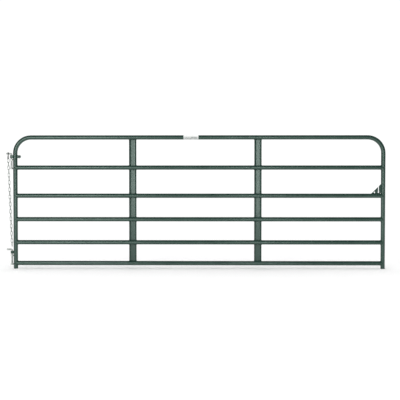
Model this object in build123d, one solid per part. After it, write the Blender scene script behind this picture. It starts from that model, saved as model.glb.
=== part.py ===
"""A six-rail tubular livestock gate: bent frame, rails, channel braces, hinges, hook bolts and a latch chain.

Millimetres. The origin is on the hinge line, level with the feet of the stiles. +X runs from the hinge line
to the latch stile, +Z is up, and -Y is the side that the open faces of the braces look to.
"""

from build123d import *
import os

# ---- overall sizes of the gate ----
GATE_WIDTH = 3540.0  # over the outsides of the two stiles
GATE_HEIGHT = 1270.0  # from the feet of the stiles to the top of the top rail
TUBE_OD = 41.3
TUBE_WALL = 1.5
CORNER_RADIUS = 150.0  # of the tube's centre line
RAIL_HEIGHTS = {"rail_2": 963.0, "rail_3": 695.0, "rail_4": 471.0, "rail_5": 251.0, "rail_6": 52.0}
LATCH_RAIL = "rail_3"  # the rail that the latch gusset stands on
SEAT_GAP = 0.1  # between two pieces that are welded to each other

# ---- channel braces ----
BRACE_OFFSETS = {"brace_hinge_side": 1120.0, "brace_latch_side": 2311.0}  # from the hinge stile's centre
BRACE_WIDTH = 70.0
BRACE_SHEET = 2.0
BRACE_BEND = 20.0  # outside radius of the channel's two bends
BRACE_LIP_Y = -1.0  # where the open edges of the channel end
BRACE_END_PAST = 16.0  # past the centre lines of the top and bottom rails

# ---- latch gusset ----
GUSSET_LEG = 91.0
GUSSET_PLATE = 5.0
GUSSET_CORNER_CUT = 9.0
KEYHOLE_FROM_STILE = 44.0  # from the latch stile's centre
KEYHOLE_UP = 14.0  # above the rail
KEYHOLE_R = 7.0
KEYHOLE_SLOT = 8.0
CHAIN_HOLE_FROM_STILE = 82.0
CHAIN_HOLE_UP = 12.0
CHAIN_HOLE_R = 7.0

# ---- hinges ----
PIN_D = 15.88
EYE_CLEARANCE = 0.8  # radial, round the hook bolt
UPPER_EYE_Z = 1067.0
LOWER_EYE_Z = 156.0
STRAP_HEIGHT = 30.0
STRAP_SHEET = 4.0
STRAP_WING_PAST = 33.35  # from the stile's face to the end of the wing
STRAP_WING_GAP = 3.0
STRAP_BOLT_PAST = 18.35  # from the stile's face
STRAP_BOLT_D = 9.5
STRAP_BOLT_HEAD_D = 20.9
STRAP_BOLT_HEAD_RISE = 4.75
STRAP_BOLT_PROUD = 11.875  # past the wing's back face
STRAP_NUT_FLATS = 15.2
STRAP_NUT_HEIGHT = 8.075
LOWER_EYE_HEIGHT = 25.0
LOWER_EYE_WALL = 5.0
LOWER_LUG_THICKNESS = 14.0

# ---- hook bolts ----
HOOK_BEND = 12.0
HOOK_ARM = 49.0  # from the hinge line to the arm's end
HOOK_LEG = 150.0  # from the arm's axis to the leg's end
HOOK_OVER_EYE = 5.5  # between the top of an eye and the arm
NUT_FLATS = 24.0
NUT_CROWN = 0.6  # slope of a nut's turned-down corners
NUT_TO_STILE = 1.4936  # between a nut's corner and the hinge stile
NUT_HEIGHT = 13.5
NUT_CLEARANCE = 0.02  # radial, in place of the thread
NUT_DROPS = (57.0, 140.0)  # from the arm's axis to the middle of each nut
END_CHAMFER = 1.5

# ---- hanging hook and chain ----
S_WIRE = 6.0
S_LOOP_PLAY = 4.56  # radial, between a loop and the arm it hangs on
S_TURN = 30.0  # of the hook's plane about the vertical
S_X = -32.0
S_OPEN = 50.0  # angle that each loop leaves open
CHAIN_WIRE = 5.5
CHAIN_INSIDE = 11.0  # between a link's two sides
CHAIN_PITCH = 34.8
CHAIN_SHOULDER = 0.45  # by which a corner's radius is less than half the link's width
CHAIN_GAP = 0.3  # between two links
CHAIN_LINKS = 24
CHAIN_LEAN = 2.2  # degrees, the foot of the chain towards the gate

# ---- label ----
LABEL_AT = 1675.0  # from the hinge stile's centre to the label's middle
LABEL_LENGTH = 142.0
LABEL_FILM = 0.3
LABEL_LIFT = 0.05

# ---- worked out from the sizes above ----
TUBE_R = TUBE_OD / 2
PIN_R = PIN_D / 2
EYE_R = PIN_R + EYE_CLEARANCE
NUT_CORNER_R = NUT_FLATS / 3**0.5
HINGE_STILE_X = TUBE_R + NUT_CORNER_R + NUT_TO_STILE
LATCH_STILE_X = HINGE_STILE_X + GATE_WIDTH - TUBE_OD
TOP_RAIL_Z = GATE_HEIGHT - TUBE_R
UPPER_ARM_Z = UPPER_EYE_Z + STRAP_HEIGHT / 2 + HOOK_OVER_EYE + PIN_R
LOWER_ARM_Z = LOWER_EYE_Z + LOWER_EYE_HEIGHT / 2 + HOOK_OVER_EYE + PIN_R
S_LOOP = PIN_R + S_LOOP_PLAY + S_WIRE / 2  # radius of a loop's centre line
CHAIN_WIDTH = CHAIN_INSIDE + CHAIN_WIRE  # between the centre lines of a link's two sides
CHAIN_CORNER = CHAIN_WIDTH / 2 - CHAIN_SHOULDER
LINK_HEIGHT = CHAIN_PITCH + CHAIN_WIRE + CHAIN_GAP  # between the centre lines of a link's two ends
STRAP_WING_X = HINGE_STILE_X + TUBE_R + STRAP_WING_PAST
STRAP_BOLT_X = HINGE_STILE_X + TUBE_R + STRAP_BOLT_PAST
WING_FACE = STRAP_WING_GAP / 2 + STRAP_SHEET
EXACT = 0.001


def x_rod(x0, x1, z, radius):
    """A round bar along X."""
    return Pos((x0 + x1) / 2, 0, z) * Rot(0, 90, 0) * Cylinder(radius, abs(x1 - x0))


def z_rod(x, z0, z1, radius):
    """A round bar along Z."""
    return Pos(x, 0, (z0 + z1) / 2) * Cylinder(radius, abs(z1 - z0))


def y_rod(x, y0, y1, radius):
    """A round bar along Y, level with the upper hinge."""
    return Pos(x, (y0 + y1) / 2, UPPER_EYE_Z) * Rot(90, 0, 0) * Cylinder(radius, y1 - y0)


def swept(path, radius):
    """A round bar along a path."""
    return sweep(Plane(origin=path @ 0, z_dir=path % 0) * Circle(radius), path=path)


def hexagon(flats, height):
    """A nut's blank about the origin, its corners turned down at both faces."""
    blank = extrude(RegularPolygon(flats / 2, 6, major_radius=False), height / 2, both=True)
    corner = flats / 3**0.5
    fall = NUT_CROWN * (corner - flats / 2)
    crown = Polyline(
        (0, -height / 2),
        (flats / 2, -height / 2),
        (corner, fall - height / 2),
        (corner, height / 2 - fall),
        (flats / 2, height / 2),
        (0, height / 2),
        close=True,
    )
    return blank & revolve(Plane.XZ * make_face(crown), Axis.Z)


def frame_tube():
    """Both stiles and the top rail, bent from one tube with open feet."""
    path = FilletPolyline(
        (HINGE_STILE_X, 0, 0),
        (HINGE_STILE_X, 0, TOP_RAIL_Z),
        (LATCH_STILE_X, 0, TOP_RAIL_Z),
        (LATCH_STILE_X, 0, 0),
        radius=CORNER_RADIUS,
    )
    return swept(path, TUBE_R) - swept(path, TUBE_R - TUBE_WALL)


def rail(z):
    """A straight tube, coped at both ends to the stiles."""
    tube = x_rod(HINGE_STILE_X, LATCH_STILE_X, z, TUBE_R)
    tube -= x_rod(HINGE_STILE_X, LATCH_STILE_X, z, TUBE_R - TUBE_WALL)
    for stile_x in (HINGE_STILE_X, LATCH_STILE_X):
        tube -= z_rod(stile_x, z - TUBE_OD, z + TUBE_OD, TUBE_R + SEAT_GAP)
    return tube


def brace(offset):
    """A channel behind the rails, its sides notched round each of them and its open face to -Y."""
    back = TUBE_R + SEAT_GAP + BRACE_SHEET
    low = min(RAIL_HEIGHTS.values()) - BRACE_END_PAST
    high = TOP_RAIL_Z + BRACE_END_PAST
    half = BRACE_WIDTH / 2
    inner = half - BRACE_SHEET
    outline = FilletPolyline(
        (-half, BRACE_LIP_Y),
        (-half, back),
        (half, back),
        (half, BRACE_LIP_Y),
        radius=BRACE_BEND,
    )
    hollow = FilletPolyline(
        (inner, BRACE_LIP_Y),
        (inner, back - BRACE_SHEET),
        (-inner, back - BRACE_SHEET),
        (-inner, BRACE_LIP_Y),
        radius=BRACE_BEND - BRACE_SHEET,
    )
    lips = [Line(outline @ 1, hollow @ 0), Line(hollow @ 1, outline @ 0)]
    section = make_face([*outline.edges(), lips[0], *hollow.edges(), lips[1]])
    channel = Pos(HINGE_STILE_X + offset, 0, low) * extrude(section, high - low, dir=(0, 0, 1))
    for z in (TOP_RAIL_Z, *RAIL_HEIGHTS.values()):
        middle = HINGE_STILE_X + offset
        channel -= x_rod(middle - BRACE_WIDTH, middle + BRACE_WIDTH, z, TUBE_R + SEAT_GAP)
    return channel


def latch_gusset():
    """A corner plate with a keyhole slot for the chain and a round hole beside it."""
    corner_x = LATCH_STILE_X - TUBE_R - SEAT_GAP
    corner_z = RAIL_HEIGHTS[LATCH_RAIL] + TUBE_R + SEAT_GAP
    outline = Polyline(
        (corner_x - GUSSET_LEG, corner_z),
        (corner_x - GUSSET_CORNER_CUT, corner_z),
        (corner_x, corner_z + GUSSET_CORNER_CUT),
        (corner_x, corner_z + GUSSET_LEG),
        close=True,
    )
    slot_x = LATCH_STILE_X - KEYHOLE_FROM_STILE
    hole_z = corner_z + KEYHOLE_UP
    chain_x = LATCH_STILE_X - CHAIN_HOLE_FROM_STILE
    section = make_face(outline)
    section -= Pos(slot_x, hole_z) * Circle(KEYHOLE_R)
    section -= Pos(slot_x, hole_z + GUSSET_LEG / 2) * Rectangle(KEYHOLE_SLOT, GUSSET_LEG)
    section -= Pos(chain_x, corner_z + CHAIN_HOLE_UP) * Circle(CHAIN_HOLE_R)
    plate = extrude(Rot(90, 0, 0) * section, GUSSET_PLATE / 2, dir=(0, 1, 0), both=True)
    return plate


def upper_hinge_strap():
    """A strap folded round the hook bolt and the stile, its two ends bolted together past the stile."""
    grip = TUBE_R + SEAT_GAP
    wing_y = STRAP_WING_GAP / 2 + STRAP_SHEET / 2
    wing_start = HINGE_STILE_X + grip
    wing = STRAP_WING_X - HINGE_STILE_X
    strap = Circle(EYE_R + STRAP_SHEET) + Pos(HINGE_STILE_X, 0) * Circle(grip + STRAP_SHEET)
    strap += Pos(HINGE_STILE_X / 2, 0) * Rectangle(HINGE_STILE_X, 2 * EYE_R + STRAP_SHEET)
    strap += Pos((HINGE_STILE_X + STRAP_WING_X) / 2, 0) * Rectangle(wing, 2 * wing_y + STRAP_SHEET)
    strap -= Circle(EYE_R)
    strap -= Pos(HINGE_STILE_X, 0) * Circle(grip)
    strap -= Pos((wing_start + STRAP_WING_X) / 2, 0) * Rectangle(wing, STRAP_WING_GAP)
    solid = Pos(0, 0, UPPER_EYE_Z - STRAP_HEIGHT / 2) * extrude(strap, STRAP_HEIGHT, dir=(0, 0, 1))
    tip = Pos(STRAP_WING_X, 0, UPPER_EYE_Z) * Box(STRAP_HEIGHT, TUBE_OD, STRAP_HEIGHT)
    tip -= y_rod(STRAP_WING_X - STRAP_HEIGHT / 2, -TUBE_OD, TUBE_OD, STRAP_HEIGHT / 2)
    solid -= tip
    solid -= y_rod(STRAP_BOLT_X, -TUBE_OD, TUBE_OD, STRAP_BOLT_D / 2 + SEAT_GAP)
    return solid


def strap_bolt():
    """A round-headed bolt through the strap's wing, its head to -Y."""
    head_r = STRAP_BOLT_HEAD_D / 2
    rise = STRAP_BOLT_HEAD_RISE
    ball_r = (head_r**2 + rise**2) / (2 * rise)
    head = Pos(STRAP_BOLT_X, ball_r - WING_FACE - rise, UPPER_EYE_Z) * Sphere(ball_r)
    head &= Pos(STRAP_BOLT_X, -WING_FACE - rise / 2, UPPER_EYE_Z) * Box(TUBE_OD, rise, TUBE_OD)
    return head + y_rod(STRAP_BOLT_X, -WING_FACE, WING_FACE + STRAP_BOLT_PROUD, STRAP_BOLT_D / 2)


def strap_nut():
    """The nut on the strap's bolt, against the wing's back."""
    nut_y = WING_FACE + STRAP_NUT_HEIGHT / 2
    nut = Pos(STRAP_BOLT_X, nut_y, UPPER_EYE_Z) * Rot(90, 0, 0) * hexagon(STRAP_NUT_FLATS, STRAP_NUT_HEIGHT)
    return nut - y_rod(STRAP_BOLT_X, 0, TUBE_OD, STRAP_BOLT_D / 2 + NUT_CLEARANCE)


def lower_hinge_eye():
    """A ring on a short lug that is welded to the hinge stile."""
    low = LOWER_EYE_Z - LOWER_EYE_HEIGHT / 2
    high = LOWER_EYE_Z + LOWER_EYE_HEIGHT / 2
    eye = z_rod(0, low, high, EYE_R + LOWER_EYE_WALL)
    eye += Pos(HINGE_STILE_X / 2, 0, LOWER_EYE_Z) * Box(HINGE_STILE_X, LOWER_LUG_THICKNESS, high - low)
    eye -= z_rod(0, low - TUBE_R, high + TUBE_R, EYE_R)
    eye -= z_rod(HINGE_STILE_X, low - TUBE_R, high + TUBE_R, TUBE_R + SEAT_GAP)
    return eye


def hook_bolt(arm_z):
    """An L of round bar: the arm runs to the post, and the leg hangs down through the eye."""
    path = FilletPolyline((-HOOK_ARM, 0, arm_z), (0, 0, arm_z), (0, 0, arm_z - HOOK_LEG), radius=HOOK_BEND)
    bar = swept(path, PIN_R)
    ends = bar.edges().filter_by(GeomType.CIRCLE).filter_by(lambda e: abs(e.radius - PIN_R) < EXACT)
    ends = [e for e in ends if e.center().X < EXACT - HOOK_ARM or e.center().Z < arm_z - HOOK_LEG + EXACT]
    return chamfer(ends, END_CHAMFER)


def hook_nuts(arm_z):
    """The two nuts on a hook bolt's leg."""
    blank = hexagon(NUT_FLATS, NUT_HEIGHT) - Cylinder(PIN_R + NUT_CLEARANCE, 2 * NUT_HEIGHT)
    return Compound([Pos(0, 0, arm_z - drop) * blank for drop in NUT_DROPS])


def s_hook():
    """A hook of round wire: its upper loop is over the upper arm, and the chain hangs in its lower loop."""
    top = UPPER_ARM_Z + PIN_R + CHAIN_GAP + S_WIRE / 2
    middle = top - 2 * S_LOOP
    upper = CenterArc((0, S_LOOP), S_LOOP, -90, 360 - S_OPEN)
    lower = CenterArc((0, -S_LOOP), S_LOOP, 90, 360 - S_OPEN)
    turn = Pos(S_X, 0, middle) * Rot(0, 0, S_TURN - 90) * Rot(90, 0, 0)
    halves = [swept(turn * arc, S_WIRE / 2) for arc in (upper, lower)]
    return halves[0] + halves[1]


def chain_link():
    """One link, standing in the XZ plane, with the middle of its upper end at the origin."""
    half = CHAIN_WIDTH / 2
    corners = [(half, 0, 0), (half, 0, -LINK_HEIGHT), (-half, 0, -LINK_HEIGHT), (-half, 0, 0)]
    path = FilletPolyline(corners, radius=CHAIN_CORNER, close=True)
    return swept(path, CHAIN_WIRE / 2)


def chain_place(number):
    """Where a link's upper end stands, and its turn about the chain."""
    wire_z = UPPER_ARM_Z + PIN_R + CHAIN_GAP + S_WIRE / 2 - 4 * S_LOOP
    first_z = wire_z + S_WIRE / 2 + CHAIN_GAP + CHAIN_WIRE / 2
    lean = Pos(S_X, 0, first_z) * Rot(0, -CHAIN_LEAN, 0)
    return lean * Pos(0, 0, -CHAIN_PITCH * number) * Rot(0, 0, 90 * (number % 2))


def label():
    """A film round the top rail, open along its back."""
    middle = HINGE_STILE_X + LABEL_AT
    inner = TUBE_R + LABEL_LIFT
    ends = (middle - LABEL_LENGTH / 2, middle + LABEL_LENGTH / 2)
    film = x_rod(*ends, TOP_RAIL_Z, inner + LABEL_FILM)
    film -= x_rod(*ends, TOP_RAIL_Z, inner)
    film -= Pos(middle, TUBE_R, TOP_RAIL_Z) * Box(2 * LABEL_LENGTH, TUBE_R, TUBE_R / 2)
    return film


def pieces():
    """Every piece of the gate by name."""
    made = {"frame_tube": frame_tube(), "latch_gusset": latch_gusset(), "label": label()}
    for name, z in RAIL_HEIGHTS.items():
        made[name] = rail(z)
    for name, offset in BRACE_OFFSETS.items():
        made[name] = brace(offset)
    made["upper_hinge_strap"] = upper_hinge_strap()
    made["strap_bolt"] = strap_bolt()
    made["strap_nut"] = strap_nut()
    made["lower_hinge_eye"] = lower_hinge_eye()
    for name, arm_z in (("upper_hook", UPPER_ARM_Z), ("lower_hook", LOWER_ARM_Z)):
        made[f"{name}_bolt"] = hook_bolt(arm_z)
        made[f"{name}_nuts"] = hook_nuts(arm_z)
    made["s_hook"] = s_hook()
    link = chain_link()
    for number in range(CHAIN_LINKS):
        made[f"chain_link_{number + 1:02d}"] = chain_place(number) * link
    return made


os.makedirs("parts", exist_ok=True)
for name, shape in pieces().items():
    export_step(shape, f"parts/{name}.step")
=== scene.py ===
"""Looks of a tubular livestock gate: enamel, zinc, weld beads, threads, chain welds and a studio.

Metres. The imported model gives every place. Its origin is on the hinge line, level with the feet
of the stiles, and the open faces of the braces look along -Y.
"""

import math

import bpy
from bpy.props import FloatProperty, FloatVectorProperty, IntProperty, PointerProperty
from mathutils import Matrix, Vector


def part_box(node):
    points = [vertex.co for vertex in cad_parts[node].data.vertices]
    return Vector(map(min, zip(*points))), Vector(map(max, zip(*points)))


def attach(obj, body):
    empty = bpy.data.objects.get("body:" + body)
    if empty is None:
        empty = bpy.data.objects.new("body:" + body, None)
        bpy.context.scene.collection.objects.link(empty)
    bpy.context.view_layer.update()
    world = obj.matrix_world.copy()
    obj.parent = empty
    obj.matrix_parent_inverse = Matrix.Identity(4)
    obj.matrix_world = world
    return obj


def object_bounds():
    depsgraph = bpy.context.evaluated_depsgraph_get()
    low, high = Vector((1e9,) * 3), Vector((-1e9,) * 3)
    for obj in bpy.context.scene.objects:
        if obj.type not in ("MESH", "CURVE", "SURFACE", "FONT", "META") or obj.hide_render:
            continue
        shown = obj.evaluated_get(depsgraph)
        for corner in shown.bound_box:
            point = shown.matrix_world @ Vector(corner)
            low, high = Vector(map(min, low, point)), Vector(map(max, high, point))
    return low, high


bl_info = {
    "name": "Livestock Gate Looks",
    "version": (1, 0, 0),
    "blender": (4, 5, 0),
    "location": "3D View > Sidebar > Gate",
    "description": "Finishes, weld beads, threads and a studio for a six-rail livestock gate",
    "category": "Object",
}

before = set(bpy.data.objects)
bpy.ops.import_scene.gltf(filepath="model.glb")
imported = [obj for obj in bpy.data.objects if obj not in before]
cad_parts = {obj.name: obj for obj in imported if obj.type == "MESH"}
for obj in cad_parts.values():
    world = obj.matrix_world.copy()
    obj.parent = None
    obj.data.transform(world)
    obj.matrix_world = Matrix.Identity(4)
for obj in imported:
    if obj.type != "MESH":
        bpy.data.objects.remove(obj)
CAD_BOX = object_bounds()

LEAF = "leaf"
POST = "post_hooks"
RAILS = [f"rail_{number}" for number in range(2, 7)]
BRACES = ["brace_hinge_side", "brace_latch_side"]
LINKS = sorted(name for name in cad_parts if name.startswith("chain_link_"))
ENAMELLED = ["frame_tube", *RAILS, *BRACES, "latch_gusset", "upper_hinge_strap", "lower_hinge_eye"]
ZINC = ["upper_hook_bolt", "upper_hook_nuts", "lower_hook_bolt", "lower_hook_nuts", *LINKS]
DARK = ["s_hook", "strap_bolt", "strap_nut"]


def middle(node):
    """The middle of a node's box."""
    low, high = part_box(node)
    return (low + high) / 2


def extent(node):
    """The sizes of a node's box."""
    low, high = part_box(node)
    return high - low


TUBE_R = extent("rail_3").y / 2
HINGE_STILE_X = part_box("frame_tube")[0].x + TUBE_R
LATCH_STILE_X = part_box("frame_tube")[1].x - TUBE_R
TOP_RAIL_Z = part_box("frame_tube")[1].z - TUBE_R
RAIL_Z = {name: middle(name).z for name in RAILS}
PIN_R = extent("upper_hook_bolt").y / 2

# Beads: each puddle's radius strays from the even one by two sine waves, whose heights are shares
# of it and whose steps are radians from one puddle to the next.
PUDDLE_STRAY = (0.08, 0.05)
PUDDLE_WAVE = (2.3, 5.1)
BALL_SUBDIVISIONS = 2
BEAD_SOFTENING = 0.5
CURVE_POINTS = 720
LUG_SIDE_POINTS = 60

# Threads: how far the rib's root lies under the bar, as a share of its crest, and half the rib's
# width at the root, as a share of the pitch.
THREAD_ROOT = 0.8
THREAD_HALF_WIDTH = 0.42

# Chain welds: the outer puddles' distance along the wire and their size, as shares.
LINK_WELD_SPREAD = 0.45
LINK_WELD_TAPER = 0.96

# Studio: both lamps stand in front of the gate, equally far out, high and tall.
LAMP_Y = -9.5
LAMP_Z = 1.9
LAMP_AIM_Z = 1.2
LAMP_HEIGHT = 3.6
PANEL_X = -1.2
PANEL_WIDTH = 2.6
STRIP_X = 2.95
STRIP_WIDTH = 0.3
FLOOR_SIZE = 80
FLOOR_SHADE = 0.985
SENSOR_WIDTH = 36
VIEW_DEPTH = 200


# ---- sizes and colours ----


class GateFinishSettings(bpy.types.PropertyGroup):
    """Colours and surface grain."""

    enamel_deep: FloatVectorProperty(
        name="Enamel, deep",
        description="Colour of the enamel where it lies thick",
        subtype="COLOR", size=3, min=0, max=1, default=(0.010, 0.031, 0.023),
    )
    enamel_thin: FloatVectorProperty(
        name="Enamel, thin",
        description="Colour of the enamel where it lies thin",
        subtype="COLOR", size=3, min=0, max=1, default=(0.024, 0.052, 0.041),
    )
    enamel_chalk: FloatVectorProperty(
        name="Enamel, rubbed",
        description="Colour of scuffs and dust on the enamel",
        subtype="COLOR", size=3, min=0, max=1, default=(0.16, 0.20, 0.18),
    )
    zinc_light: FloatVectorProperty(
        name="Zinc, light",
        description="Colour of the bright zinc grains",
        subtype="COLOR", size=3, min=0, max=1, default=(0.62, 0.65, 0.62),
    )
    zinc_dull: FloatVectorProperty(
        name="Zinc, dull",
        description="Colour of the dull zinc grains",
        subtype="COLOR", size=3, min=0, max=1, default=(0.36, 0.39, 0.37),
    )
    plate_dark: FloatVectorProperty(
        name="Dark plate",
        description="Colour of the dark plated steel",
        subtype="COLOR", size=3, min=0, max=1, default=(0.055, 0.062, 0.060),
    )
    plate_rubbed: FloatVectorProperty(
        name="Dark plate, rubbed",
        description="Colour of the dark plated steel where it is worn",
        subtype="COLOR", size=3, min=0, max=1, default=(0.26, 0.27, 0.26),
    )
    film_white: FloatVectorProperty(
        name="Label film",
        description="Colour of the label's film",
        subtype="COLOR", size=3, min=0, max=1, default=(0.86, 0.87, 0.86),
    )
    # Grey laid on the film below a line near its top, and on soil; whether that band is print or
    # shade is not known
    film_grey: FloatVectorProperty(
        name="Label tint",
        description="Colour of the label's tinted part and of soil on the film",
        subtype="COLOR", size=3, min=0, max=1, default=(0.42, 0.44, 0.43),
    )
    film_mark: FloatVectorProperty(
        name="Label marks",
        description="Colour of the printed bars on the label",
        subtype="COLOR", size=3, min=0, max=1, default=(0.10, 0.12, 0.11),
    )
    peel_depth: FloatProperty(
        name="Orange peel",
        description="Depth of the enamel's orange peel",
        subtype="DISTANCE", unit="LENGTH", min=0, max=0.001, default=0.00003,
    )


class GateWeldSettings(bpy.types.PropertyGroup):
    """Sizes of the weld beads."""

    puddle_r: FloatProperty(
        name="Puddle radius",
        description="Radius of each puddle in a bead",
        subtype="DISTANCE", unit="LENGTH", min=0.001, max=0.008, default=0.0034,
    )
    puddle_step: FloatProperty(
        name="Puddle step",
        description="From one puddle to the next",
        subtype="DISTANCE", unit="LENGTH", min=0.001, max=0.008, default=0.0037,
    )
    brace_bend: FloatProperty(
        name="Brace bend",
        description="Outside radius of the braces' two bends",
        subtype="DISTANCE", unit="LENGTH", min=0.005, max=0.022, default=0.020,
    )
    brace_wrap: FloatProperty(
        name="Brace wrap",
        description="Turn from a rail's back to where the brace's bead ends",
        subtype="ANGLE", unit="ROTATION", min=0, max=math.pi, default=math.radians(104),
    )
    gusset_start: FloatProperty(
        name="Gusset bead start",
        description="From the gusset's tip to the first puddle on the rail",
        subtype="DISTANCE", unit="LENGTH", min=0, max=0.02, default=0.004,
    )
    gusset_inset: FloatProperty(
        name="Gusset bead inset",
        description="Length without a bead by the gusset's inner corner",
        subtype="DISTANCE", unit="LENGTH", min=0, max=0.03, default=0.011,
    )
    eye_lug: FloatProperty(
        name="Eye lug",
        description="Half the width of the lower eye where it meets the stile",
        subtype="DISTANCE", unit="LENGTH", min=0.003, max=0.015, default=0.007,
    )
    voxel: FloatProperty(
        name="Bead detail",
        description="Grid that the puddles melt together on",
        subtype="DISTANCE", unit="LENGTH", min=0.0004, max=0.003, default=0.0007,
    )


class GateHardwareSettings(bpy.types.PropertyGroup):
    """Sizes of the threads and the chain's welds."""

    thread_pitch: FloatProperty(
        name="Hook thread pitch",
        description="Pitch of the hook bolts' threads",
        subtype="DISTANCE", unit="LENGTH", min=0.001, max=0.004, default=0.0023,
    )
    thread_crest: FloatProperty(
        name="Hook thread crest",
        description="Height of the crests above the bar",
        subtype="DISTANCE", unit="LENGTH", min=0.0001, max=0.0007, default=0.00045,
    )
    thread_length: FloatProperty(
        name="Hook thread length",
        description="Length of thread, up from the leg's end",
        subtype="DISTANCE", unit="LENGTH", min=0.02, max=0.104, default=0.102,
    )
    small_radius: FloatProperty(
        name="Strap bolt radius",
        description="Radius of the strap bolt's shank",
        subtype="DISTANCE", unit="LENGTH", min=0.003, max=0.008, default=0.00475,
    )
    small_pitch: FloatProperty(
        name="Strap bolt pitch",
        description="Pitch of the strap bolt's thread",
        subtype="DISTANCE", unit="LENGTH", min=0.0008, max=0.002, default=0.0013,
    )
    thread_steps: IntProperty(
        name="Thread steps",
        description="Steps in one turn of a thread",
        min=12, max=48, default=28,
    )
    link_wire_r: FloatProperty(
        name="Link wire radius",
        description="Radius of the chain's wire",
        subtype="DISTANCE", unit="LENGTH", min=0.002, max=0.005, default=0.00275,
    )
    link_detail: FloatProperty(
        name="Link weld detail",
        description="Grid that a link's weld melts together on",
        subtype="DISTANCE", unit="LENGTH", min=0.0002, max=0.001, default=0.0004,
    )
    link_weld_r: FloatProperty(
        name="Link weld radius",
        description="Radius of the upset at each link's weld",
        subtype="DISTANCE", unit="LENGTH", min=0.0028, max=0.0038, default=0.0033,
    )


class GateStageSettings(bpy.types.PropertyGroup):
    """Floor, lights and camera."""

    floor_colour: FloatVectorProperty(
        name="Floor",
        description="Colour of the floor",
        subtype="COLOR", size=3, min=0, max=1, default=(0.96, 0.96, 0.96),
    )
    room_light: FloatProperty(
        name="Room light",
        description="Strength of the even light from all sides",
        min=0, max=3, default=1.06,
    )
    mirror_light: FloatProperty(
        name="Mirrored light",
        description="Strength of the even light where gloss mirrors it",
        min=0, max=3, default=0.07,
    )
    panel_power: FloatProperty(
        name="Tall panel",
        description="Power of the tall light on the hinge side",
        unit="POWER", min=0, max=5000, default=255,
    )
    strip_power: FloatProperty(
        name="Strip light",
        description="Power of the narrow light on the latch side",
        unit="POWER", min=0, max=5000, default=80,
    )
    camera_target: FloatVectorProperty(
        name="Camera target",
        description="The point that the camera looks at",
        subtype="XYZ", unit="LENGTH", size=3, default=(1.7963, 0, 0.6547),
    )
    camera_distance: FloatProperty(
        name="Camera distance",
        description="From the camera to the point it looks at",
        subtype="DISTANCE", unit="LENGTH", min=1, max=50, default=7.405,
    )
    camera_azimuth: FloatProperty(
        name="Camera azimuth",
        description="Turn of the camera round the gate, to the latch side",
        subtype="ANGLE", unit="ROTATION", default=math.radians(0.571),
    )
    camera_elevation: FloatProperty(
        name="Camera elevation",
        description="Angle of the camera above the horizon",
        subtype="ANGLE", unit="ROTATION", default=math.radians(1.60),
    )
    camera_lens: FloatProperty(
        name="Lens",
        description="Focal length on a 36 mm wide sensor",
        unit="CAMERA", min=10, max=300, default=70,
    )


SETTINGS = {
    "gate_finish": GateFinishSettings,
    "gate_weld": GateWeldSettings,
    "gate_hardware": GateHardwareSettings,
    "gate_stage": GateStageSettings,
}


# ---- materials ----


class Finish:
    """A material under construction: its node tree, its shader and the object's own coordinates."""

    def __init__(self, name):
        self.material = bpy.data.materials.new(name)
        self.material.use_nodes = True
        self.tree = self.material.node_tree
        self.shader = self.tree.nodes["Principled BSDF"]
        self.place = self.tree.nodes.new("ShaderNodeTexCoord").outputs["Object"]

    def add(self, kind, values=None, **settings):
        """A new node with its settings and its inputs' values or links."""
        node = self.tree.nodes.new(kind)
        for key, value in settings.items():
            setattr(node, key, value)
        for key, value in (values or {}).items():
            if isinstance(value, bpy.types.NodeSocket):
                self.tree.links.new(value, node.inputs[key])
            else:
                node.inputs[key].default_value = value
        return node

    def stretched(self, scale):
        """The object's coordinates, scaled along each axis."""
        values = {"Vector": self.place, "Scale": scale}
        return self.add("ShaderNodeMapping", values).outputs["Vector"]

    def noise(self, scale, detail=3.0, rough=0.5, place=None):
        """Cloudy grain with `scale` features to the metre."""
        values = {
            "Vector": place or self.place,
            "Scale": scale,
            "Detail": detail,
            "Roughness": rough,
        }
        return self.add("ShaderNodeTexNoise", values).outputs["Fac"]

    def ranged(self, value, low, high, to_low=0.0, to_high=1.0):
        """A value carried from one range to another and held there."""
        values = {
            "Value": value,
            "From Min": low,
            "From Max": high,
            "To Min": to_low,
            "To Max": to_high,
        }
        return self.add("ShaderNodeMapRange", values).outputs["Result"]

    def maths(self, operation, first, second=0.0):
        """One arithmetic step."""
        step = self.add("ShaderNodeMath", {0: first, 1: second}, operation=operation)
        return step.outputs["Value"]

    def product(self, *factors):
        """Several values multiplied together."""
        result = factors[0]
        for factor in factors[1:]:
            result = self.maths("MULTIPLY", result, factor)
        return result

    def blended(self, first, second, share):
        """`share` of the first value with the rest of the second."""
        return self.maths("ADD", self.product(first, share), self.product(second, 1 - share))

    def between(self, value, low, high):
        """1 where a value lies between two limits, 0 elsewhere."""
        above = self.maths("GREATER_THAN", value, low)
        return self.product(above, self.maths("LESS_THAN", value, high))

    def mixed(self, share, first, second):
        """One colour laid over another by a share."""
        node = self.add("ShaderNodeMix", {"Factor": share}, data_type="RGBA")
        for socket, value in ((node.inputs[6], first), (node.inputs[7], second)):
            if isinstance(value, bpy.types.NodeSocket):
                self.tree.links.new(value, socket)
            else:
                socket.default_value = (*value, 1)
        return node.outputs[2]

    def axes(self):
        """X, Y and Z of the object's coordinates."""
        return self.add("ShaderNodeSeparateXYZ", {"Vector": self.place}).outputs

    def bump(self, height, distance, under=None):
        """A relief, on top of another if one is given."""
        values = {"Height": height, "Distance": distance, "Strength": 1.0}
        if under is not None:
            values["Normal"] = under
        return self.add("ShaderNodeBump", values).outputs["Normal"]

    def join(self, colour=None, rough=None, normal=None, **fixed):
        """Links the shader's inputs and sets the ones that are the same all over."""
        for key, value in (("Base Color", colour), ("Roughness", rough), ("Normal", normal)):
            if value is not None:
                self.tree.links.new(value, self.shader.inputs[key])
        for key, value in fixed.items():
            self.shader.inputs[key.replace("_", " ")].default_value = value
        return self.material


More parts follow.
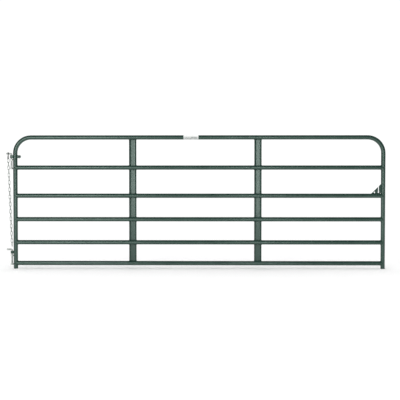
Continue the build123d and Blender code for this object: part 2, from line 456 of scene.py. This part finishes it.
def enamel(settings):
    """Dark green powder enamel: clouded, lightly orange-peeled, with rubbed specks."""
    made = Finish("green_enamel")
    clouds = made.noise(scale=7.0, detail=4.0, rough=0.55)
    blotches = made.noise(scale=95.0, detail=5.0, rough=0.6)
    shade = made.ranged(made.blended(clouds, blotches, share=0.55), 0.36, 0.64)
    colour = made.mixed(shade, settings.enamel_deep, settings.enamel_thin)
    down_runs = made.stretched((160.0, 160.0, 9.0))
    runs = made.noise(scale=1.0, detail=3.0, rough=0.6, place=down_runs)
    colour = made.mixed(made.ranged(runs, 0.55, 0.8, to_high=0.35), colour, settings.enamel_deep)
    along_rails = made.stretched((30.0, 240.0, 240.0))
    rubs = made.noise(scale=1.0, detail=6.0, rough=0.7, place=along_rails)
    patches = made.noise(scale=11.0, detail=3.0)
    worn = made.product(made.ranged(rubs, 0.60, 0.74), made.ranged(patches, 0.50, 0.68))
    colour = made.mixed(made.product(worn, 0.7), colour, settings.enamel_chalk)
    gloss = made.ranged(blotches, 0.3, 0.7, to_low=0.17, to_high=0.28)
    rough = made.maths("ADD", gloss, made.product(worn, 0.25))
    peel = made.bump(made.noise(scale=520.0, detail=2.0), settings.peel_depth)
    normal = made.bump(made.noise(scale=140.0, detail=3.0), settings.peel_depth * 2, under=peel)
    return made.join(
        colour, rough, normal,
        Specular_Tint=(0.78, 1.0, 0.90, 1.0), Coat_Weight=0.25, Coat_Roughness=0.2,
    )


def zinc(settings):
    """Bright zinc plate with a fine spangle and dull patches."""
    made = Finish("zinc_plate")
    grains = made.add("ShaderNodeTexVoronoi", {"Vector": made.place, "Scale": 420.0})
    spangle = made.add("ShaderNodeSeparateColor", {"Color": grains.outputs["Color"]}).outputs["Red"]
    patches = made.noise(scale=130.0, detail=5.0, rough=0.6)
    dullness = made.blended(spangle, patches, share=0.35)
    colour = made.mixed(made.ranged(dullness, 0.3, 0.66), settings.zinc_light, settings.zinc_dull)
    rough = made.ranged(dullness, 0.25, 0.7, to_low=0.34, to_high=0.56)
    pits = made.bump(made.noise(scale=900.0, detail=3.0), distance=0.00006)
    normal = made.bump(made.noise(scale=260.0, detail=2.0), distance=0.00015, under=pits)
    return made.join(colour, rough, normal, Metallic=0.85)


def dark_plate(settings):
    """Dark plated steel, rubbed brighter in places."""
    made = Finish("dark_plate")
    patches = made.noise(scale=180.0, detail=5.0, rough=0.65)
    upright = made.stretched((900.0, 900.0, 90.0))
    scratches = made.noise(scale=1.0, detail=4.0, rough=0.6, place=upright)
    bare = made.ranged(patches, 0.52, 0.72)
    worn = made.maths("MAXIMUM", bare, made.ranged(scratches, 0.62, 0.74))
    colour = made.mixed(worn, settings.plate_dark, settings.plate_rubbed)
    rough = made.ranged(patches, 0.3, 0.7, to_low=0.48, to_high=0.32)
    normal = made.bump(made.noise(scale=700.0, detail=3.0), distance=0.00008)
    return made.join(colour, rough, normal, Metallic=0.8)


# Rows of bars on the label: lowest and highest edge from the tube's axis, start and end as shares
# of half the label's length, bars to the metre, and the share of the row left blank.
LABEL_ROWS = (
    {"low": -0.0030, "high": 0.0045, "start": 0.04, "end": 0.86, "bars": 110.0, "blank": 0.44},
    {"low": -0.0010, "high": 0.0030, "start": -0.88, "end": -0.06, "bars": 170.0, "blank": 0.50},
    {"low": -0.0135, "high": -0.0095, "start": -0.80, "end": 0.80, "bars": 120.0, "blank": 0.47},
)


def label_film(settings):
    """White film, greyer below a line near its top, with rows of plain grey bars on it."""
    made = Finish("label_film")
    axes = made.axes()
    along = made.maths("SUBTRACT", axes["X"], middle("label").x)
    up = made.maths("SUBTRACT", axes["Z"], TOP_RAIL_Z)
    half = extent("label").x / 2
    only_x = made.stretched((1.0, 0.0, 0.0))
    marks = 0.0
    for row in LABEL_ROWS:
        grain = made.noise(scale=row["bars"], detail=0.0, place=only_x)
        printed = made.product(
            made.between(up, row["low"], row["high"]),
            made.between(along, half * row["start"], half * row["end"]),
            made.maths("GREATER_THAN", grain, row["blank"]),
        )
        marks = made.maths("MAXIMUM", marks, printed)
    soil = made.ranged(made.noise(scale=60.0, detail=5.0, rough=0.6), 0.45, 0.8, to_high=0.22)
    colour = made.mixed(soil, settings.film_white, settings.film_grey)
    # The film turns greyer below a line 7.4 to 8.2 mm above the tube's axis.
    greyer = made.ranged(up, 0.0082, 0.0074, to_high=0.9)
    colour = made.mixed(greyer, colour, settings.film_grey)
    colour = made.mixed(made.product(marks, 0.9), colour, settings.film_mark)
    rough = made.ranged(made.noise(scale=220.0, detail=3.0), 0.3, 0.7, to_low=0.30, to_high=0.44)
    normal = made.bump(made.noise(scale=170.0, detail=2.0), distance=0.00005)
    return made.join(colour, rough, normal, Coat_Weight=0.2, Coat_Roughness=0.15)


def coat(node, material):
    """Puts one material on a CAD node."""
    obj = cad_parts[node]
    obj.data.materials.clear()
    obj.data.materials.append(material)


def finish_of(name):
    """A finish made earlier, by name."""
    if name not in bpy.data.materials:
        raise RuntimeError(f"make the finishes before the pieces that wear {name}")
    return bpy.data.materials[name]


# ---- modelling helpers ----


def deselect():
    """Nothing selected and nothing active."""
    bpy.ops.object.select_all(action="DESELECT")
    bpy.context.view_layer.objects.active = None


def activate(obj):
    """Only this object selected."""
    deselect()
    obj.select_set(True)
    bpy.context.view_layer.objects.active = obj


def settle(obj, name, body, finish):
    """Puts the place into the mesh, names the piece, and gives it its body, finish and slot."""
    activate(obj)
    bpy.ops.object.transform_apply(location=True, rotation=True, scale=True)
    bpy.ops.object.shade_smooth()
    obj.name = name
    obj.data.name = name
    obj.data.materials.clear()
    obj.data.materials.append(finish_of(finish))
    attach(obj, body)
    return obj


def copied(obj, name, shift, body):
    """A copy with its own mesh, moved by a shift, riding on a body."""
    twin = obj.copy()
    twin.data = obj.data.copy()
    twin.data.transform(Matrix.Translation(shift))
    twin.name = name
    twin.data.name = name
    bpy.context.scene.collection.objects.link(twin)
    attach(twin, body)
    return twin


def melted(name, puddles, voxel, body, finish):
    """Overlapping balls, each a place and a radius, melted into one piece."""
    deselect()
    balls = []
    for place, radius in puddles:
        bpy.ops.mesh.primitive_ico_sphere_add(
            subdivisions=BALL_SUBDIVISIONS, radius=radius, location=place,
        )
        balls.append(bpy.context.object)
    for ball in balls:
        ball.select_set(True)
    bpy.ops.object.join()
    made = bpy.context.object
    bpy.ops.object.transform_apply(location=True, rotation=True, scale=True)
    melt = made.modifiers.new("melt", "REMESH")
    melt.mode = "VOXEL"
    melt.voxel_size = voxel
    bpy.ops.object.modifier_apply(modifier=melt.name)
    soften = made.modifiers.new("soften", "SMOOTH")
    soften.factor = BEAD_SOFTENING
    soften.iterations = 1
    bpy.ops.object.modifier_apply(modifier=soften.name)
    return settle(made, name, body, finish)


def bead(name, path, settings):
    """A weld bead on the gate: puddles of slightly uneven size along a path of points."""
    puddles = []
    for number, point in enumerate(path):
        size = 1
        for stray, wave in zip(PUDDLE_STRAY, PUDDLE_WAVE):
            size += stray * math.sin(wave * number)
        puddles.append((point, settings.puddle_r * size))
    return melted(name, puddles, settings.voxel, LEAF, "green_enamel")


def spaced(curve, step):
    """Points an even step apart along a curve given as closely spaced points."""
    points = [Vector(p) for p in curve]
    kept = [points[0]]
    travelled = 0.0
    for before, after in zip(points, points[1:]):
        travelled += (after - before).length
        if travelled >= step:
            kept.append(after)
            travelled = 0.0
    return kept


def angles(start, end):
    """Closely spaced angles from start to end."""
    last = CURVE_POINTS - 1
    return [start + (end - start) * n / last for n in range(CURVE_POINTS)]


def helix(name, radius, crest, pitch, turns, steps, base, turned, body, finish):
    """A thread: a three-sided rib wound up a bar from its base, then turned with the bar."""
    deselect()
    root = radius - crest * THREAD_ROOT
    half = pitch * THREAD_HALF_WIDTH
    bpy.ops.mesh.primitive_circle_add(vertices=3, radius=1.0, rotation=(math.pi / 2, 0, 0))
    rib = bpy.context.object
    bpy.ops.object.transform_apply(location=False, rotation=True, scale=False)
    for number, corner in enumerate(((radius + crest, 0, 0), (root, 0, half), (root, 0, -half))):
        move_corner(rib, number, corner)
    turn = rib.modifiers.new("turn", "SCREW")
    turn.axis = "Z"
    turn.angle = math.tau
    turn.screw_offset = pitch
    turn.iterations = turns
    turn.steps = steps
    turn.render_steps = steps
    bpy.ops.object.modifier_apply(modifier=turn.name)
    bpy.ops.object.mode_set(mode="EDIT")
    bpy.ops.mesh.select_mode(type="EDGE")
    bpy.ops.mesh.select_all(action="DESELECT")
    bpy.ops.mesh.select_non_manifold()
    bpy.ops.mesh.edge_face_add()
    bpy.ops.mesh.select_all(action="SELECT")
    bpy.ops.mesh.normals_make_consistent(inside=False)
    bpy.ops.object.mode_set(mode="OBJECT")
    rib.location = base
    rib.rotation_euler = turned
    return settle(rib, name, body, finish)


def move_corner(obj, number, corner):
    """Drags one vertex of a mesh to a place."""
    bpy.ops.object.mode_set(mode="EDIT")
    bpy.ops.mesh.select_mode(type="VERT")
    bpy.ops.mesh.select_all(action="DESELECT")
    bpy.ops.object.mode_set(mode="OBJECT")
    obj.data.vertices[number].select = True
    step = Vector(corner) - obj.data.vertices[number].co
    bpy.ops.object.mode_set(mode="EDIT")
    bpy.ops.transform.translate(value=step)
    bpy.ops.object.mode_set(mode="OBJECT")


# ---- operators ----


class GATE_OT_finishes(bpy.types.Operator):
    """Make the enamel, zinc, dark plate and label finishes and put them on the steel"""

    bl_idname = "gate.finishes"
    bl_label = "Finishes"

    def execute(self, context):
        settings = context.scene.gate_finish
        kinds = ((enamel, ENAMELLED), (zinc, ZINC), (dark_plate, DARK), (label_film, ["label"]))
        for make, nodes in kinds:
            material = make(settings)
            for node in nodes:
                coat(node, material)
        bare = [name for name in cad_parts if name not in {*ENAMELLED, *ZINC, *DARK, "label"}]
        if bare:
            raise RuntimeError(f"these pieces have no finish: {bare}")
        return {"FINISHED"}


class GATE_OT_rail_welds(bpy.types.Operator):
    """Lay a bead round each end of each rail"""

    bl_idname = "gate.rail_welds"
    bl_label = "Rail welds"

    def execute(self, context):
        settings = context.scene.gate_weld
        first_z = RAIL_Z[RAILS[0]]
        for side, stile_x, way in (("hinge", HINGE_STILE_X, 1), ("latch", LATCH_STILE_X, -1)):
            saddle = []
            for angle in angles(0, math.tau):
                out, up = TUBE_R * math.cos(angle), TUBE_R * math.sin(angle)
                saddle.append((stile_x + way * abs(up), out, first_z + up))
            made = bead(f"weld_{RAILS[0]}_{side}", spaced(saddle, settings.puddle_step), settings)
            for name in RAILS[1:]:
                copied(made, f"weld_{name}_{side}", (0, 0, RAIL_Z[name] - first_z), LEAF)
        return {"FINISHED"}


class GATE_OT_brace_welds(bpy.types.Operator):
    """Lay a bead where each side of a brace meets each rail"""

    bl_idname = "gate.brace_welds"
    bl_label = "Brace welds"

    def execute(self, context):
        settings = context.scene.gate_weld
        low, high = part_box(BRACES[0])
        half = (high.x - low.x) / 2
        bend = settings.brace_bend
        bend_y = high.y - bend
        top_up = math.asin((high.z - TOP_RAIL_Z) / TUBE_R)
        wrap = settings.brace_wrap
        spans = {"top_rail": (-wrap, top_up), "rail_6": (-top_up, wrap)}
        places = {"top_rail": TOP_RAIL_Z, **RAIL_Z}
        done = {}
        for name, z in places.items():
            span = spans.get(name, (-wrap, wrap))
            for brace in BRACES:
                x = middle(brace).x
                if span in done:
                    first, at = done[span]
                    copied(first, f"weld_{brace}_{name}", (x - at[0], 0, z - at[1]), LEAF)
                    continue
                curve = []
                for angle in angles(*span):
                    y = TUBE_R * math.cos(angle)
                    past = max(0.0, y - bend_y)
                    out = half - bend + math.sqrt(bend**2 - past**2)
                    curve.append((out, y, TUBE_R * math.sin(angle)))
                path = spaced(curve, settings.puddle_step)
                both = [(x + way * p.x, p.y, z + p.z) for way in (-1, 1) for p in path]
                done[span] = (bead(f"weld_{brace}_{name}", both, settings), (x, z))
        return {"FINISHED"}


class GATE_OT_fitting_welds(bpy.types.Operator):
    """Lay the beads of the latch gusset and of the lower hinge eye"""

    bl_idname = "gate.fitting_welds"
    bl_label = "Fitting welds"

    def execute(self, context):
        settings = context.scene.gate_weld
        low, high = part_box("latch_gusset")
        step = settings.puddle_step
        inset = settings.gusset_inset
        foot_count = int((high.x - low.x - inset) / step) - 1
        side_count = int((high.z - low.z - inset) / step) - 1
        foot_x = low.x + settings.gusset_start
        legs = {
            "foot": [(foot_x + n * step, low.z) for n in range(foot_count)],
            "side": [(high.x, low.z + inset + n * step) for n in range(side_count)],
        }
        for leg, line in legs.items():
            for face, y in (("front", low.y), ("back", high.y)):
                bead(f"weld_gusset_{leg}_{face}", [(x, y, z) for x, z in line], settings)
        low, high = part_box("lower_hinge_eye")
        lug = settings.eye_lug
        corners = [(-lug, low.z), (lug, low.z), (lug, high.z), (-lug, high.z)]
        ring = []
        for start, end in zip(corners, corners[1:] + corners[:1]):
            for n in range(LUG_SIDE_POINTS):
                y, z = (a + (b - a) * n / LUG_SIDE_POINTS for a, b in zip(start, end))
                ring.append((HINGE_STILE_X - math.sqrt(TUBE_R**2 - y**2), y, z))
        bead("weld_lower_eye", spaced(ring, step), settings)
        return {"FINISHED"}


class GATE_OT_threads(bpy.types.Operator):
    """Wind the threads of the hook bolts and the strap bolt"""

    bl_idname = "gate.threads"
    bl_label = "Threads"

    def execute(self, context):
        settings = context.scene.gate_hardware
        turns = int(settings.thread_length / settings.thread_pitch)
        for side in ("upper", "lower"):
            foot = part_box(f"{side}_hook_bolt")[0].z
            base = (0, 0, foot + settings.thread_pitch)
            helix(
                f"thread_{side}_hook", PIN_R, settings.thread_crest, settings.thread_pitch, turns,
                settings.thread_steps, base, (0, 0, 0), POST, "zinc_plate",
            )
        nut_y, end_y = (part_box(name)[1].y for name in ("strap_nut", "strap_bolt"))
        pitch = settings.small_pitch
        at = middle("strap_nut")
        helix(
            "thread_strap_bolt", settings.small_radius, settings.thread_crest / 2, pitch,
            int((end_y - nut_y) / pitch), settings.thread_steps, (at.x, nut_y + pitch / 2, at.z),
            (-math.pi / 2, 0, 0), LEAF, "dark_plate",
        )
        return {"FINISHED"}


class GATE_OT_link_welds(bpy.types.Operator):
    """Put the upset of the weld on one side of every chain link"""

    bl_idname = "gate.link_welds"
    bl_label = "Link welds"

    def execute(self, context):
        settings = context.scene.gate_hardware
        first = {}
        for node in LINKS:
            size = extent(node)
            at = middle(node)
            flat = size.x > size.y
            if flat in first:
                source, before = first[flat]
                copied(source, f"weld_{node}", at - before, node)
                continue
            side = max(size.x, size.y) / 2 - settings.link_wire_r
            place = at + (Vector((side, 0, 0)) if flat else Vector((0, -side, 0)))
            step = Vector((0, 0, settings.link_wire_r * LINK_WELD_SPREAD))
            radius = settings.link_weld_r
            outer = radius * LINK_WELD_TAPER
            puddles = [(place - step, outer), (place, radius), (place + step, outer)]
            made = melted(
                f"weld_{node}", puddles, settings.link_detail, node, "zinc_plate",
            )
            first[flat] = (made, at)
        return {"FINISHED"}


class GATE_OT_stage(bpy.types.Operator):
    """Set up the floor, the lights and the camera"""

    bl_idname = "gate.stage"
    bl_label = "Stage"

    def execute(self, context):
        settings = context.scene.gate_stage
        low, high = CAD_BOX
        centre = (low + high) / 2
        deselect()
        bpy.ops.mesh.primitive_plane_add(size=FLOOR_SIZE, location=(centre.x, 0, low.z))
        floor = context.object
        floor.name = "floor"
        surface = Finish("floor")
        shaded = tuple(part * FLOOR_SHADE for part in settings.floor_colour)
        clouds = surface.noise(scale=0.8, detail=2.0)
        tint = surface.mixed(clouds, settings.floor_colour, shaded)
        floor.data.materials.append(surface.join(tint, Roughness=0.7, Specular_IOR_Level=0.0))
        self.room(context, settings)
        self.lamp("tall_panel", PANEL_X, PANEL_WIDTH, settings.panel_power)
        self.lamp("strip_light", STRIP_X, STRIP_WIDTH, settings.strip_power)
        self.camera(context, settings)
        return {"FINISHED"}

    def room(self, context, settings):
        """Even light from all sides."""
        world = bpy.data.worlds.new("room")
        world.use_nodes = True
        tree = world.node_tree
        ray = tree.nodes.new("ShaderNodeLightPath")
        dim = tree.nodes.new("ShaderNodeMapRange")
        dim.inputs["To Min"].default_value = settings.room_light
        dim.inputs["To Max"].default_value = settings.mirror_light
        tree.links.new(ray.outputs["Is Glossy Ray"], dim.inputs["Value"])
        tree.links.new(dim.outputs["Result"], tree.nodes["Background"].inputs["Strength"])
        tree.nodes["Background"].inputs["Color"].default_value = (1, 1, 1, 1)
        context.scene.world = world
        context.scene.view_settings.view_transform = "Standard"

    def lamp(self, name, x, width, power):
        """A tall soft light straight in front of a place along the gate."""
        place = Vector((x, LAMP_Y, LAMP_Z))
        turn = (Vector((x, 0, LAMP_AIM_Z)) - place).to_track_quat("-Z", "Y").to_euler()
        bpy.ops.object.light_add(type="AREA", location=place, rotation=turn)
        lamp = bpy.context.object
        lamp.name = name
        lamp.data.shape = "RECTANGLE"
        lamp.data.size = width
        lamp.data.size_y = LAMP_HEIGHT
        lamp.data.energy = power

    def camera(self, context, settings):
        """A camera before the open faces of the braces, a little above the gate's middle."""
        azimuth, elevation = settings.camera_azimuth, settings.camera_elevation
        back = Vector((
            math.sin(azimuth) * math.cos(elevation),
            -math.cos(azimuth) * math.cos(elevation),
            math.sin(elevation),
        ))
        place = Vector(settings.camera_target) + back * settings.camera_distance
        bpy.ops.object.camera_add(location=place, rotation=(math.pi / 2 - elevation, 0, azimuth))
        camera = context.object
        camera.name = "gate_camera"
        camera.data.lens = settings.camera_lens
        camera.data.sensor_width = SENSOR_WIDTH
        camera.data.clip_end = VIEW_DEPTH
        context.scene.camera = camera


OPERATORS = (
    GATE_OT_finishes,
    GATE_OT_rail_welds,
    GATE_OT_brace_welds,
    GATE_OT_fitting_welds,
    GATE_OT_threads,
    GATE_OT_link_welds,
    GATE_OT_stage,
)


class GATE_PT_panel(bpy.types.Panel):
    """Steps and sizes of the gate's looks"""

    bl_label = "Gate"
    bl_idname = "GATE_PT_panel"
    bl_space_type = "VIEW_3D"
    bl_region_type = "UI"
    bl_category = "Gate"

    def draw(self, context):
        for operator in OPERATORS:
            self.layout.operator(operator.bl_idname)
        for name, group in SETTINGS.items():
            box = self.layout.box()
            for key in group.__annotations__:
                box.prop(getattr(context.scene, name), key)


def register():
    """Adds the settings, the operators and the panel."""
    for name, group in SETTINGS.items():
        bpy.utils.register_class(group)
        setattr(bpy.types.Scene, name, PointerProperty(type=group))
    for operator in OPERATORS:
        bpy.utils.register_class(operator)
    bpy.utils.register_class(GATE_PT_panel)


def unregister():
    """Takes them away again."""
    bpy.utils.unregister_class(GATE_PT_panel)
    for operator in reversed(OPERATORS):
        bpy.utils.unregister_class(operator)
    for name, group in reversed(SETTINGS.items()):
        delattr(bpy.types.Scene, name)
        bpy.utils.unregister_class(group)


def main():
    """Makes everything in order."""
    register()
    bpy.ops.gate.finishes()
    bpy.ops.gate.rail_welds()
    bpy.ops.gate.brace_welds()
    bpy.ops.gate.fitting_welds()
    bpy.ops.gate.threads()
    bpy.ops.gate.link_welds()
    bpy.ops.gate.stage()


if __name__ == "__main__":
    main()
